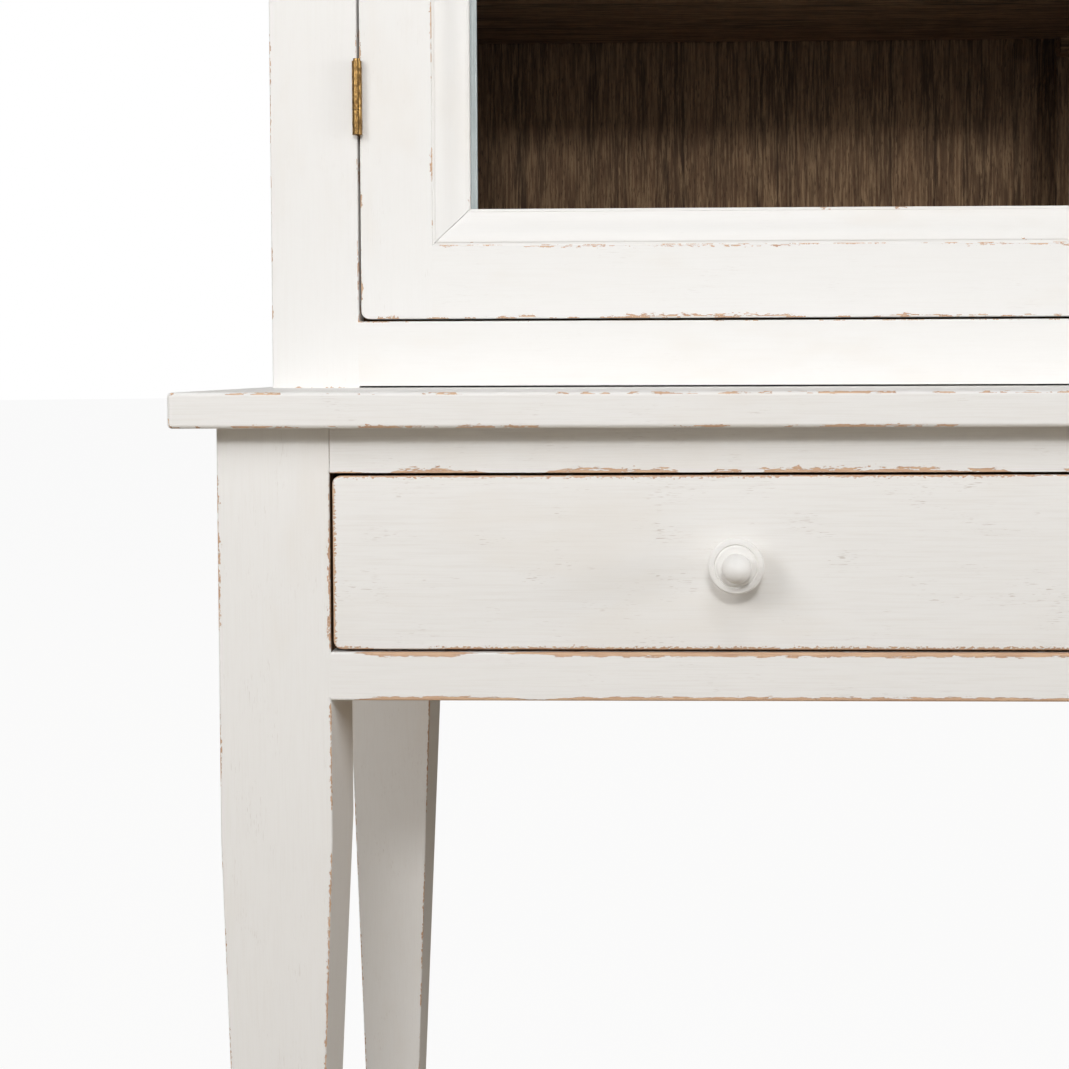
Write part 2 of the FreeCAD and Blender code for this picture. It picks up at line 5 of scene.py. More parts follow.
import bmesh
import bpy
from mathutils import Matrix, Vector


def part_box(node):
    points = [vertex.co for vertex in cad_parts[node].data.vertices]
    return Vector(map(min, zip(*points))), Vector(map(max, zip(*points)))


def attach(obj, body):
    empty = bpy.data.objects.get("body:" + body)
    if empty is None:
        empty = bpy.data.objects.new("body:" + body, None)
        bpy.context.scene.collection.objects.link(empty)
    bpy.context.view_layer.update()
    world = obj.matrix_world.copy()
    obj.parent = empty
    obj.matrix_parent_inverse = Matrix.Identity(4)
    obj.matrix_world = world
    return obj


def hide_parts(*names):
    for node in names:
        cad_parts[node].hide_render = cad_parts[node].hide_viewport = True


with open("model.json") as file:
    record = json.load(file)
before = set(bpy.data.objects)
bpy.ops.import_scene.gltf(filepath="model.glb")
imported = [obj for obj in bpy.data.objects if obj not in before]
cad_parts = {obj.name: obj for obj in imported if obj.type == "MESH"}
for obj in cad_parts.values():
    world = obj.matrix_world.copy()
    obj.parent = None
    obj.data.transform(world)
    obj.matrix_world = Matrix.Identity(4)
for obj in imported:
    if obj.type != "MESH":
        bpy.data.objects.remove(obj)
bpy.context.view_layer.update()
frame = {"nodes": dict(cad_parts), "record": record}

mm = 0.001
onFace = 0.1 * mm  # a point this near to a plane lies on it
bodyOfNode = {}
for bodyName, nodeNames in frame["record"]["behaviour"]["bodies"].items():
    for nodeName in nodeNames:
        bodyOfNode[nodeName] = bodyName


# shader helpers

def linear(hexColour):
    # sRGB hex to the linear colour that the shaders want
    channels = [int(hexColour[i:i + 2], 16) / 255 for i in (1, 3, 5)]
    return [c / 12.92 if c <= 0.04045 else ((c + 0.055) / 1.055) ** 2.4 for c in channels] + [1]


def addNode(tree, kind, inputs, output=0, **options):
    # one node with its options; an input is a value, a hex colour or a socket to link
    made = tree.nodes.new("ShaderNode" + kind)
    for option, value in options.items():
        setattr(made, option, value)
    for place, value in inputs.items():
        if isinstance(value, bpy.types.NodeSocket):
            tree.links.new(value, made.inputs[place])
        else:
            made.inputs[place].default_value = linear(value) if isinstance(value, str) else value
    return made.outputs[output] if made.outputs else made


def newMaterial(name):
    material = bpy.data.materials.new(name)
    material.use_nodes = True
    material.node_tree.nodes.clear()
    return material, partial(addNode, material.node_tree)


def grain(add, along, width, length, detail=2.0, offset=0.0):
    # noise drawn out along the grain: features `width` across and `length` along, in metres
    spot = add("TexCoord", {}, "Object")
    scales = [1 / width] * 3
    scales["xyz".index(along)] = 1 / length
    spot = add("Mapping", {0: spot, "Scale": scales, "Location": [offset] * 3})
    return add("TexNoise", {0: spot, "Scale": 1.0, "Detail": detail, "Roughness": 0.6})


# paint, worn through at the edges

paintLook = {
    "paint": "#F4F3F1",
    "shade": "#E9E6E2",        # thinner paint between the brush marks
    "aged": "#EFEBE5",         # slight yellowing
    "fleck": "#A9988A",
    "bareWood": "#E2C09F",
    "darkWood": "#CBA387",
    "rim": "#A5795C",          # glaze caught at the broken edge of the paint
    "strokeWidth": 1.1 * mm,   # real bristle marks are finer than shows here
    "strokeLength": 45 * mm,
    "raggedWidth": 1.5 * mm,
}


def edgeGap(add, keepOff):
    # metres to the nearest edge of the board's face; keepOff (mm) pushes the low and high sides away
    facing = add("NewGeometry", {}, "True Normal")
    facing = add("VectorTransform", {0: facing}, vector_type="NORMAL", convert_from="WORLD",
                 convert_to="OBJECT")
    facing = add("VectorMath", {0: facing}, operation="ABSOLUTE")
    # the axis that a face looks along must not count, so it is pushed far away
    pushed = add("VectorMath", {0: facing, 1: (50, 50, 50), 2: (-46, -46, -46)}, operation="MULTIPLY_ADD")
    pushed = add("VectorMath", {0: pushed, 1: (0, 0, 0)}, operation="MAXIMUM")
    sides = []
    for layer, off in zip(("lowGap", "highGap"), keepOff):
        side = add("Attribute", {}, "Vector", attribute_name=layer)
        side = add("VectorMath", {0: side, 1: [value * mm for value in off]}, operation="ADD")
        sides.append(add("VectorMath", {0: side, 1: pushed}, operation="ADD"))
    nearest = add("VectorMath", {0: sides[0], 1: sides[1]}, operation="MINIMUM")
    gap = add("Attribute", {}, "Fac", attribute_name="ridgeGap")
    for axis in range(3):
        gap = add("Math", {0: gap, 1: add("SeparateXYZ", {0: nearest}, axis)}, operation="MINIMUM")
    return gap


def brushedPaint(name, look):
    # eggshell paint brushed over a tan timber and rubbed through along the edges, which gives the eye
    # a soft white board with fine strokes and a broken warm outline
    paint, along, seed = paintLook, look["along"], look["seed"]
    material, add = newMaterial(name)
    strokes = grain(add, along, paint["strokeWidth"], paint["strokeLength"], 4.0, seed)
    clouds = grain(add, along, 60 * mm, 150 * mm, 3.0, 1.3 + seed)
    brushed = look.get("brushed", 0.7)
    thin = add("MapRange", {0: strokes, 1: 0.4, 2: 0.72, 4: 0.55 * brushed}, interpolation_type="SMOOTHSTEP")
    colour = add("Mix", {0: thin, 6: paint["paint"], 7: paint["shade"]}, 2, data_type="RGBA")
    old = add("MapRange", {0: clouds, 1: 0.48, 2: 0.72, 4: 0.5}, interpolation_type="SMOOTHSTEP")
    colour = add("Mix", {0: old, 6: colour, 7: paint["aged"]}, 2, data_type="RGBA")
    fleckArea = grain(add, along, 22 * mm, 45 * mm, 2.0, 9.2 + seed)
    fleckArea = add("MapRange", {0: fleckArea, 1: 0.52, 2: 0.66}, interpolation_type="SMOOTHSTEP")
    flecks = grain(add, along, 0.55 * mm, 8 * mm, 1.0, 5.1 + seed)
    flecks = add("MapRange", {0: flecks, 1: 0.62, 2: 0.74, 4: look.get("flecks", 0.25)},
                 interpolation_type="SMOOTHSTEP")
    flecks = add("Math", {0: flecks, 1: fleckArea}, operation="MULTIPLY")
    colour = add("Mix", {0: flecks, 6: colour, 7: paint["fleck"]}, 2, data_type="RGBA")

    # how deep each point lies inside the rubbed band along its edge, in metres
    width = look["width"] * mm
    gap = edgeGap(add, look.get("keepOff", ((0, 0, 0), (0, 0, 0))))
    patch = look.get("patch", 40) * mm
    patches = grain(add, along, patch * 0.8, patch * 1.6, 3.0, 7.7 + seed)
    least = 0.64 - 0.3 * look["share"]
    patches = add("MapRange", {0: patches, 1: least, 2: least + 0.14}, interpolation_type="SMOOTHSTEP")
    if "bands" in look:  # wear only between these heights, each with its own share
        height = add("SeparateXYZ", {0: add("TexCoord", {}, "Object")}, 2)
        total = 0.0
        for low, high, share in look["bands"]:
            rise = add("MapRange", {0: height, 1: low, 2: low + 4 * mm, 4: share})
            fall = add("MapRange", {0: height, 1: high - 4 * mm, 2: high, 3: 1.0, 4: 0.0})
            total = add("Math", {0: rise, 1: fall, 2: total}, operation="MULTIPLY_ADD")
        patches = add("Math", {0: patches, 1: total}, operation="MULTIPLY")
    if "endFade" in look:  # the wear dies away towards both ends
        ends = [add("SeparateXYZ", {0: add("Attribute", {}, "Vector", attribute_name=layer)})
                for layer in ("lowGap", "highGap")]
        ends = add("Math", {0: ends[0], 1: ends[1]}, operation="MINIMUM")
        ends = add("MapRange", {0: ends, 1: 4 * mm, 2: look["endFade"] * mm}, interpolation_type="SMOOTHSTEP")
        patches = add("Math", {0: patches, 1: ends}, operation="MULTIPLY")
    toothWidth, toothLength = paint["raggedWidth"], paint["raggedWidth"] * look.get("drag", 2.5)
    ragged = grain(add, along, toothWidth, toothLength, 4.0, 2.9 + seed)
    swing = width * look.get("ragged", 1.2)
    ragged = add("MapRange", {0: ragged, 1: 0.25, 2: 0.75, 3: -swing, 4: swing}, clamp=False)
    reach = add("Math", {0: patches, 1: width, 2: -0.5 * mm}, operation="MULTIPLY_ADD")
    reach = add("Math", {0: ragged, 1: patches, 2: reach}, operation="MULTIPLY_ADD")
    depth = add("Math", {0: reach, 1: gap}, operation="SUBTRACT")
    worn = add("MapRange", {0: depth, 1: -0.1 * mm, 2: 0.1 * mm}, interpolation_type="SMOOTHSTEP")
    rim = add("MapRange", {0: depth, 1: 0.0, 2: 0.4 * mm, 3: 0.7, 4: 0.0})
    timber = grain(add, along, 0.8 * mm, 25 * mm, 3.0, 6.0)
    timber = add("MapRange", {0: timber, 1: 0.35, 2: 0.65}, interpolation_type="SMOOTHSTEP")
    timber = add("Mix", {0: timber, 6: paint["bareWood"], 7: paint["darkWood"]}, 2, data_type="RGBA")
    timber = add("Mix", {0: rim, 6: timber, 7: paint["rim"]}, 2, data_type="RGBA")
    colour = add("Mix", {0: worn, 6: colour, 7: timber}, 2, data_type="RGBA")

    roughness = add("Math", {0: strokes, 1: 0.14, 2: 0.43}, operation="MULTIPLY_ADD")
    roughness = add("Math", {0: worn, 1: 0.2, 2: roughness}, operation="MULTIPLY_ADD")  # bare wood is duller
    film = add("Math", {0: worn, 1: -0.12}, operation="MULTIPLY")  # heights in millimetres
    film = add("Math", {0: strokes, 1: 0.03 * brushed, 2: film}, operation="MULTIPLY_ADD")
    film = add("Math", {0: clouds, 1: 0.4, 2: film}, operation="MULTIPLY_ADD")
    bump = add("Bump", {"Strength": 1.0, "Distance": mm, "Height": film})
    shader = add("BsdfPrincipled",
                 {"IOR": 1.5, "Base Color": colour, "Roughness": roughness, "Normal": bump})
    add("OutputMaterial", {0: shader})
    return material


# stained and bare timber, brass, glass

def timberFinish(name, along, tones, fibreWidth, roughness):
    # straight-grained board: broad bands, fine fibres and short dark pores
    dark, middle, light = tones
    material, add = newMaterial(name)
    bands = grain(add, along, fibreWidth * 7, 0.5, 3.0)
    fibres = grain(add, along, fibreWidth, 40 * mm, 5.0, 3.1)
    pores = grain(add, along, 0.8 * mm, 9 * mm, 1.0, 8.3)
    bandShare = add("MapRange", {0: bands, 1: 0.3, 2: 0.7}, interpolation_type="SMOOTHSTEP")
    colour = add("Mix", {0: bandShare, 6: dark, 7: middle}, 2, data_type="RGBA")
    fibreShare = add("MapRange", {0: fibres, 1: 0.4, 2: 0.68, 4: 0.9}, interpolation_type="SMOOTHSTEP")
    colour = add("Mix", {0: fibreShare, 6: colour, 7: light}, 2, data_type="RGBA")
    poreShare = add("MapRange", {0: pores, 1: 0.58, 2: 0.7, 4: 0.75}, interpolation_type="SMOOTHSTEP")
    colour = add("Mix", {0: poreShare, 6: colour, 7: dark}, 2, data_type="RGBA")
    gloss = add("Math", {0: fibres, 1: 0.18, 2: roughness - 0.09}, operation="MULTIPLY_ADD")
    height = add("Math", {0: fibres, 1: 0.1}, operation="MULTIPLY")
    height = add("Math", {0: poreShare, 1: -0.08, 2: height}, operation="MULTIPLY_ADD")
    bump = add("Bump", {"Strength": 1.0, "Distance": mm, "Height": height})
    shader = add("BsdfPrincipled", {"IOR": 1.45, "Specular IOR Level": 0.2, "Base Color": colour,
                                    "Roughness": gloss, "Normal": bump})
    add("OutputMaterial", {0: shader})
    return material


def agedBrass():
    # cast brass that has dulled brown: warm highlights with a patchy, softer gloss
    material, add = newMaterial("castBrassAged")
    patina = grain(add, "z", 2.5 * mm, 4 * mm, 4.0)
    share = add("MapRange", {0: patina, 1: 0.35, 2: 0.65}, interpolation_type="SMOOTHSTEP")
    colour = add("Mix", {0: share, 6: "#B08D57", 7: "#6E5433"}, 2, data_type="RGBA")
    roughness = add("MapRange", {0: patina, 1: 0.3, 2: 0.7, 3: 0.28, 4: 0.52})
    bump = add("Bump", {"Strength": 0.4, "Distance": 0.05 * mm, "Height": patina})
    shader = add("BsdfPrincipled",
                 {"Metallic": 1.0, "Base Color": colour, "Roughness": roughness, "Normal": bump})
    add("OutputMaterial", {0: shader})
    return material


def floatGlass():
    # clear float glass: a thin pane that shows what lies behind it, with soft reflections over it
    material, add = newMaterial("floatGlassClear")
    smear = grain(add, "z", 50 * mm, 120 * mm, 3.0)
    roughness = add("MapRange", {0: smear, 1: 0.3, 2: 0.8, 4: 0.03})
    clear = add("BsdfTransparent", {"Color": "#FDFEFE"})
    sheen = add("BsdfPrincipled", {"Metallic": 1.0, "Base Color": "#FFFFFF", "Roughness": roughness})
    mirrored = add("Fresnel", {"IOR": 1.5})
    # lamp light passes through unmirrored, and so does the far side, which would mirror everything at a slant
    passed = add("Math", {0: add("LightPath", {}, "Is Shadow Ray"), 1: add("NewGeometry", {}, "Backfacing")},
                 operation="MAXIMUM")
    shown = add("Math", {0: 1.0, 1: passed}, operation="SUBTRACT")
    mirrored = add("Math", {0: mirrored, 1: shown}, operation="MULTIPLY")
    add("OutputMaterial", {0: add("MixShader", {0: mirrored, 1: clear, 2: sheen})})
    return material


def vinylBead():
    # extruded grey vinyl glazing bead, a cool matt line beside the moulding
    material, add = newMaterial("extrudedVinylGrey")
    streaks = grain(add, "z", 0.8 * mm, 60 * mm)
    share = add("MapRange", {0: streaks, 1: 0.3, 2: 0.7})
    colour = add("Mix", {0: share, 6: "#DDE3E4", 7: "#C4CCCE"}, 2, data_type="RGBA")
    bump = add("Bump", {"Strength": 0.3, "Distance": 0.1 * mm, "Height": streaks})
    shader = add("BsdfPrincipled",
                 {"IOR": 1.46, "Roughness": 0.42, "Base Color": colour, "Normal": bump})
    add("OutputMaterial", {0: shader})
    return material


far = 1000  # mm, keeps wear off a side where two boards meet
lowRail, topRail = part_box("stand_rail_bottom"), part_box("stand_rail_top")
# along: the way the brush went; width: how far wear reaches in, mm; share: how much of the edge is worn;
# patch: length of a worn stretch, mm; ragged: how broken its outline is; drag: how long its teeth are;
# flecks: how dark the specks in the brush marks are; brushed: how strongly the brush marks show
paintedBoards = {
    "brushedPaintLeg": {"along": "z", "width": 1.9, "share": 0.8, "seed": 0.5, "patch": 30, "brushed": 0.45,
                        "bands": ((0, lowRail[0][2], 0.7), (lowRail[1][2], topRail[0][2], 1.0))},
    "brushedPaintTopRail": {"along": "x", "width": 3.0, "share": 0.72, "seed": 1.7, "patch": 55, "drag": 5.0,
                            "keepOff": ((far, 0, 0), (far, 0, far))},
    "brushedPaintLowRail": {"along": "x", "width": 3.4, "share": 1.1, "seed": 2.3, "patch": 120, "ragged": 0.5,
                            "drag": 8.0, "endFade": 40, "keepOff": ((far, 0, 0), (far, 0, 0))},
    "brushedPaintSlab": {"along": "x", "width": 2.0, "share": 0.68, "seed": 3.9, "patch": 22, "drag": 3.5,
                         "keepOff": ((0, 0, 0), (0, far, 0.4))},
    "brushedPaintDrawer": {"along": "x", "width": 2.1, "share": 1.0, "seed": 4.2, "patch": 45, "drag": 2.0,
                           "flecks": 0.5, "brushed": 0.8, "keepOff": ((0, 0, 0), (0, 0, 0.6))},
    "brushedPaintStile": {"along": "z", "width": 1.6, "share": 0.5, "seed": 5.8, "patch": 24, "flecks": 0.1,
                          "brushed": 0.25},
    "brushedPaintFrameRail": {"along": "x", "width": 1.5, "share": 0.45, "seed": 6.6, "flecks": 0.1,
                              "brushed": 0.25, "keepOff": ((far, 0, 1), (far, 0, 0))},
    "brushedPaintDoorStile": {"along": "z", "width": 2.2, "share": 0.55, "seed": 7.4, "patch": 24,
                              "flecks": 0.12, "brushed": 0.25},
    "brushedPaintDoorRail": {"along": "x", "width": 2.8, "share": 0.7, "seed": 8.1, "patch": 60, "drag": 4.0,
                             "flecks": 0.12, "brushed": 0.3},
    "brushedPaintMouldingAcross": {"along": "x", "width": 1.2, "share": 0.3, "seed": 9.7, "patch": 24,
                                   "flecks": 0.1, "brushed": 0.25},
    "brushedPaintMouldingUpright": {"along": "z", "width": 1.0, "share": 0.0, "seed": 10.1, "patch": 24,
                                    "flecks": 0.1, "brushed": 0.25},
    "brushedPaintSide": {"along": "z", "width": 1.6, "share": 0.5, "seed": 10.3},
    "brushedPaintApron": {"along": "x", "width": 1.8, "share": 0.7, "seed": 11.9,
                          "keepOff": ((far, far, 0), (far, far, far))},
    "brushedPaintCornice": {"along": "x", "width": 2.2, "share": 0.7, "seed": 12.4},
    "brushedPaintKnob": {"along": "x", "width": 0.8, "share": 0.2, "seed": 13.2, "flecks": 0.1,
                         "brushed": 0.3},
}
finishes = {name: brushedPaint(name, look) for name, look in paintedBoards.items()}
darkAlder = ("#463325", "#82634A", "#A78767")
pine = ("#B98F60", "#D8B588", "#E6CBA2")
finishes.update({
    # alder stained dark: brown grain that falls off to near black in the shade
    "alderUpright": timberFinish("stainedAlderUpright", "z", darkAlder, 2.2 * mm, 0.72),
    "alderAcross": timberFinish("stainedAlderAcross", "x", darkAlder, 2.2 * mm, 0.72),
    # planed pine left bare: pale honey boards
    "pineAcross": timberFinish("planedPineAcross", "x", pine, 2.6 * mm, 0.62),
    "pineDeep": timberFinish("planedPineDeep", "y", pine, 2.6 * mm, 0.62),
    "brass": agedBrass(),
    "glass": floatGlass(),
    "vinyl": vinylBead(),
})
print("finishes made:", len(finishes))


# boards: the frame's own shapes with softened edges

def storeGaps(mesh, tapered=False, ridge=None):
    # how far each point is from the low and high sides of its board, for the worn edges
    points = [vertex.co for vertex in mesh.vertices]
    low = Vector([min(point[axis] for point in points) for axis in range(3)])
    high = Vector([max(point[axis] for point in points) for axis in range(3)])
    lows, highs = [], []
    for point in points:
        sideLow, sideHigh = low.copy(), high.copy()
        if tapered:
            level = [other for other in points if abs(other.z - point.z) < onFace / 2]
            for axis in (0, 1):
                sideLow[axis] = min(other[axis] for other in level)
                sideHigh[axis] = max(other[axis] for other in level)
        lows.extend(point - sideLow)
        highs.extend(sideHigh - point)
    for name, kind, values in (("lowGap", "FLOAT_VECTOR", lows), ("highGap", "FLOAT_VECTOR", highs)):
        layer = mesh.attributes.new(name, kind, "POINT")
        layer.data.foreach_set("vector", values)
    layer = mesh.attributes.new("ridgeGap", "FLOAT", "POINT")
    layer.data.foreach_set("value", ridge or [1.0] * len(points))


def clearGaps(mesh):
    # puts every side of the board far away, for shapes that aren't boards
    for name in ("lowGap", "highGap"):
        mesh.attributes[name].data.foreach_set("vector", [1.0] * (3 * len(mesh.vertices)))


sharpFrom = 40  # degrees between two faces, from where their edge counts as sharp


def finishPiece(shape, name, nodeNames, finishNames, tapered=False, ridge=None, sharpAngle=sharpFrom):
    # turns the edited shape into an object that rides with, and stands for, its nodes
    mesh = bpy.data.meshes.new(name)
    shape.to_mesh(mesh)
    shape.free()
    mesh.shade_smooth()
    mesh.set_sharp_from_angle(angle=math.radians(sharpAngle))
    storeGaps(mesh, tapered, ridge)
    for finishName in finishNames:
        mesh.materials.append(finishes[finishName])
    piece = bpy.data.objects.new(name, mesh)
    bpy.context.collection.objects.link(piece)
    shading = piece.modifiers.new("flatFaces", "WEIGHTED_NORMAL")
    shading.keep_sharp = True
    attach(piece, bodyOfNode[nodeNames[0]])
    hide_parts(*nodeNames)
    return piece


def cleanShape(nodeName):
    # the node's own mesh, with its flat faces whole again
    shape = bmesh.new()
    shape.from_mesh(frame["nodes"][nodeName].data)
    bmesh.ops.remove_doubles(shape, verts=shape.verts, dist=0.01 * mm)
    bmesh.ops.dissolve_limit(shape, angle_limit=math.radians(0.5), verts=shape.verts, edges=shape.edges)
    return shape


def roundEdges(shape, edgeRound, keepSquare=None):
    # rounds every sharp edge, apart from those that keepSquare says lie in a joint
    chosen = []
    for edge in shape.edges:
        if edge.is_manifold and edge.calc_face_angle(0) > math.radians(sharpFrom):
            if not (keepSquare and keepSquare(*[vertex.co for vertex in edge.verts])):
                chosen.append(edge)
    bmesh.ops.bevel(shape, geom=chosen, offset=edgeRound * mm, segments=3, profile=0.5,
                    affect="EDGES", clamp_overlap=True)


def softBoard(nodeName, finish, edgeRound=1.2, butted=None, other=None, shy=0.0):
    # butted: the axis along which both ends meet other boards; other: a second finish and which faces get it;
    # shy: how far, in mm, the ends along X stop short, which leaves a fine dark joint line
    shape = cleanShape(nodeName)
    low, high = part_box(nodeName)
    for vertex in shape.verts:
        if shy and vertex.co.x - low[0] < onFace:
            vertex.co.x += shy * mm
        elif shy and high[0] - vertex.co.x < onFace:
            vertex.co.x -= shy * mm

    def inJoint(first, second):
        axis = "xyz".index(butted)
        return any(abs(first[axis] - end) < onFace and abs(second[axis] - end) < onFace
                   for end in (low[axis], high[axis]))

    roundEdges(shape, edgeRound, inJoint if butted else None)
    if other:
        shape.normal_update()
        for face in shape.faces:
            face.material_index = 1 if other["faces"](face) else 0
    finishPiece(shape, nodeName + "_wood", [nodeName], [finish] + ([other["finish"]] if other else []))


def legPost(nodeName, edgeRound=1.5):
    # the leg's inner front corner stays square where the rails meet it
    shape = cleanShape(nodeName)
    rails = [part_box("stand_rail_bottom"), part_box("stand_rail_top")]
    levels = (rails[0][0][2], rails[0][1][2], rails[1][0][2])
    inner = rails[0][0][0] if nodeName.endswith("left") else rails[0][1][0]
    inward = -1 if nodeName.endswith("left") else 1
    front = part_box(nodeName)[0][1]
    margin = 3 * mm  # narrow cells around the places where the rounding stops keep the large faces flat

    def cut(place, normal, lowest):
        faces = [face for face in shape.faces if face.calc_center_median().z > lowest]
        edges = [edge for edge in shape.edges if any(face in faces for face in edge.link_faces)]
        verts = [vertex for vertex in shape.verts if any(face in faces for face in vertex.link_faces)]
        bmesh.ops.bisect_plane(shape, geom=faces + edges + verts, plane_co=place, plane_no=normal,
                               dist=0.01 * mm)

    for level in levels:
        for step in (-margin, 0, margin):
            cut((0, 0, level + step), (0, 0, 1), -1)
    cut((inner + inward * margin, 0, 0), (1, 0, 0), levels[0] - margin)
    cut((0, front + margin, 0), (0, 1, 0), levels[0] - margin)

    def inJoint(first, second):
        middle = (first[2] + second[2]) / 2
        upright = abs(first[2] - second[2]) > 1 * mm
        onCorner = abs(first[0] - inner) < onFace and abs(second[0] - inner) < onFace
        besideRail = any(low[2] < middle < high[2] for low, high in rails)
        levelCut = not upright and onFace < first[2] < rails[1][1][2] - onFace
        return levelCut or (upright and onCorner and besideRail)

    roundEdges(shape, edgeRound, inJoint)
    shape.normal_update()
    for face in shape.faces:  # the side that looks at the drawer gets dark stained wood: bare wood where the paint stops, and painted shade that keeps the gap beside the drawer dark
        middle = face.calc_center_median()
        beside = abs(middle.x - inner) < onFace and levels[1] < middle.z < levels[2]
        face.material_index = 1 if beside else 0
    finishPiece(shape, nodeName + "_wood", [nodeName], ["brushedPaintLeg", "alderUpright"], tapered=True)


def openFrame(name, nodeNames, xs, zs, ys, gaps, opening, finishNames, edgeRound=1.2, cornerRound=None):
    # a frame of stiles and rails in one piece, so that the painted-over joints don't show: a sheet of cells
    # between the lines xs and zs, without the cells in gaps; opening is the (column, row) seen through it
    shape = bmesh.new()
    columns, rows = len(xs) - 1, len(zs) - 1
    corner = {(i, j, k): shape.verts.new((xs[i], ys[j], zs[k]))
              for i in range(columns + 1) for j in range(2) for k in range(rows + 1)}
    solid = {(i, k) for i in range(columns) for k in range(rows)} - set(gaps)
    for i, k in sorted(solid):
        cell = [(i, k), (i + 1, k), (i + 1, k + 1), (i, k + 1)]
        beside = [(i, k - 1), (i + 1, k), (i, k + 1), (i - 1, k)]
        for j in range(2):
            shape.faces.new([corner[a, j, b] for a, b in cell]).material_index = 1 if i == 1 else 0
        for (a, b), (c, d), neighbour in zip(cell, cell[1:] + cell[:1], beside):
            if neighbour not in solid:
                wall = shape.faces.new([corner[a, 0, b], corner[c, 0, d], corner[c, 1, d], corner[a, 1, b]])
                wall.material_index = 1 if i == 1 else 0
    bmesh.ops.recalc_face_normals(shape, faces=shape.faces)
    if cornerRound:
        outerX, outerZ = (xs[0], xs[-1]), (zs[0], zs[-1])
        posts = [edge for edge in shape.edges
                 if all(min(abs(vertex.co.x - x) for x in outerX) < onFace / 10
                        and min(abs(vertex.co.z - z) for z in outerZ) < onFace / 10 for vertex in edge.verts)]
        bmesh.ops.bevel(shape, geom=posts, offset=cornerRound * mm, segments=6, profile=0.5,
                        affect="EDGES")
    notchTop = zs[1] if rows > 3 else zs[0] - 1  # the gap under a raised bottom rail stays square
    roundEdges(shape, edgeRound, lambda first, second: max(first.z, second.z) < notchTop + onFace)
    left, right = xs[opening[0]], xs[opening[0] + 1]
    bottom, top = zs[opening[1]], zs[opening[1] + 1]
    innerRubbedLess = 1.1 * mm
    ridges = []
    for vertex in shape.verts:
        x, z = vertex.co.x, vertex.co.z
        ridges.append(max(left - x, x - right, bottom - z, z - top, 0) + innerRubbedLess)
    finishPiece(shape, name, nodeNames, finishNames, ridge=ridges)


for nodeName in ("leg_front_left", "leg_front_right", "leg_back_left", "leg_back_right"):
    legPost(nodeName)
# finish, edge rounding in mm, axis of the butted ends
standBoards = {
    "stand_rail_top": ("brushedPaintTopRail", 0.35, None),
    "stand_rail_bottom": ("brushedPaintLowRail", 1.8, "x"),
    "stand_apron_left": ("brushedPaintApron", 1.5, "y"), "stand_apron_right": ("brushedPaintApron", 1.5, "y"),
    "stand_apron_back": ("brushedPaintApron", 1.5, "x"), "stand_top": ("brushedPaintSlab", 2.4, None),
    "drawer_kicker": ("pineDeep", 1.0, "y"),
    "drawer_runner_left": ("pineDeep", 1.0, "y"), "drawer_runner_right": ("pineDeep", 1.0, "y"),
}
topRailGap = 0.3  # mm, the fine joint line at both ends of the top rail
for nodeName, (finish, edgeRound, butted) in standBoards.items():
    softBoard(nodeName, finish, edgeRound, butted,
              shy=topRailGap if nodeName == "stand_rail_top" else 0.0)
print("stand done")

# its edges get dark stained wood: unpainted edges, and painted shade that makes the gaps around the front read
# dark
softBoard("drawer_front", "brushedPaintDrawer", 0.8,
          other={"finish": "alderAcross", "faces": lambda face: abs(face.normal.y) < 0.1})
drawerBoards = {
    "drawer_back": "pineAcross", "drawer_bottom": "pineAcross",
    "drawer_side_left": "pineDeep", "drawer_side_right": "pineDeep",
}
for nodeName, finish in drawerBoards.items():
    softBoard(nodeName, finish, 0.8)
print("drawer done")

hutchBoards = {
    "hutch_floor": "alderAcross", "shelf_cleats": "alderAcross",
    "back_panel_left": "alderUpright", "back_panel_right": "alderUpright", "back_muntin": "alderUpright",
    "shelf_low": "alderAcross", "shelf_middle": "alderAcross", "shelf_high": "alderAcross",
    "cornice_front": "brushedPaintCornice", "cornice_left": "brushedPaintCornice",
    "cornice_right": "brushedPaintCornice",
}
for nodeName, finish in hutchBoards.items():
    softBoard(nodeName, finish, 1.2)
flatOn = 0.7  # how far a face has to look along an axis
softBoard("hutch_side_left", "brushedPaintSide", 1.2,
          other={"finish": "alderUpright", "faces": lambda face: face.normal.x > flatOn})
softBoard("hutch_side_right", "brushedPaintSide", 1.2,
          other={"finish": "alderUpright", "faces": lambda face: face.normal.x < -flatOn})
softBoard("hutch_roof", "alderAcross", 1.2,
          other={"finish": "brushedPaintSide", "faces": lambda face: face.normal.z > flatOn})
stileLeft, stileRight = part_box("frame_stile_left"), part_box("frame_stile_right")
railLow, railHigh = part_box("frame_rail_bottom"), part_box("frame_rail_top")
openFrame("face_frame", ["frame_stile_left", "frame_stile_right", "frame_rail_bottom", "frame_rail_top"],
          [stileLeft[0][0], stileLeft[1][0], stileRight[0][0], stileRight[1][0]],
          [stileLeft[0][2], railLow[0][2], railLow[1][2], railHigh[0][2], stileLeft[1][2]],
          [stileLeft[0][1], stileLeft[1][1]], [(1, 0), (1, 2)], (1, 2),
          ["brushedPaintStile", "brushedPaintFrameRail"], 1.5)
print("hutch done")


def glazingBead(side):
    # the bead shows beside the hinge stile only; at the meeting stile it stays behind the moulding
    shape = cleanShape(f"door_{side}_beads")
    places = sorted({round(vertex.co.x, 5) for vertex in shape.verts})
    inner = places[2] if side == "left" else places[1]
    hidden = 2.5 * mm if side == "left" else -2.5 * mm
    for vertex in shape.verts:
        if abs(vertex.co.x - inner) < onFace:
            vertex.co.x += hidden
    roundEdges(shape, 0.4)
    finishPiece(shape, f"door_{side}_beads_strip", [f"door_{side}_beads"], ["vinyl"])


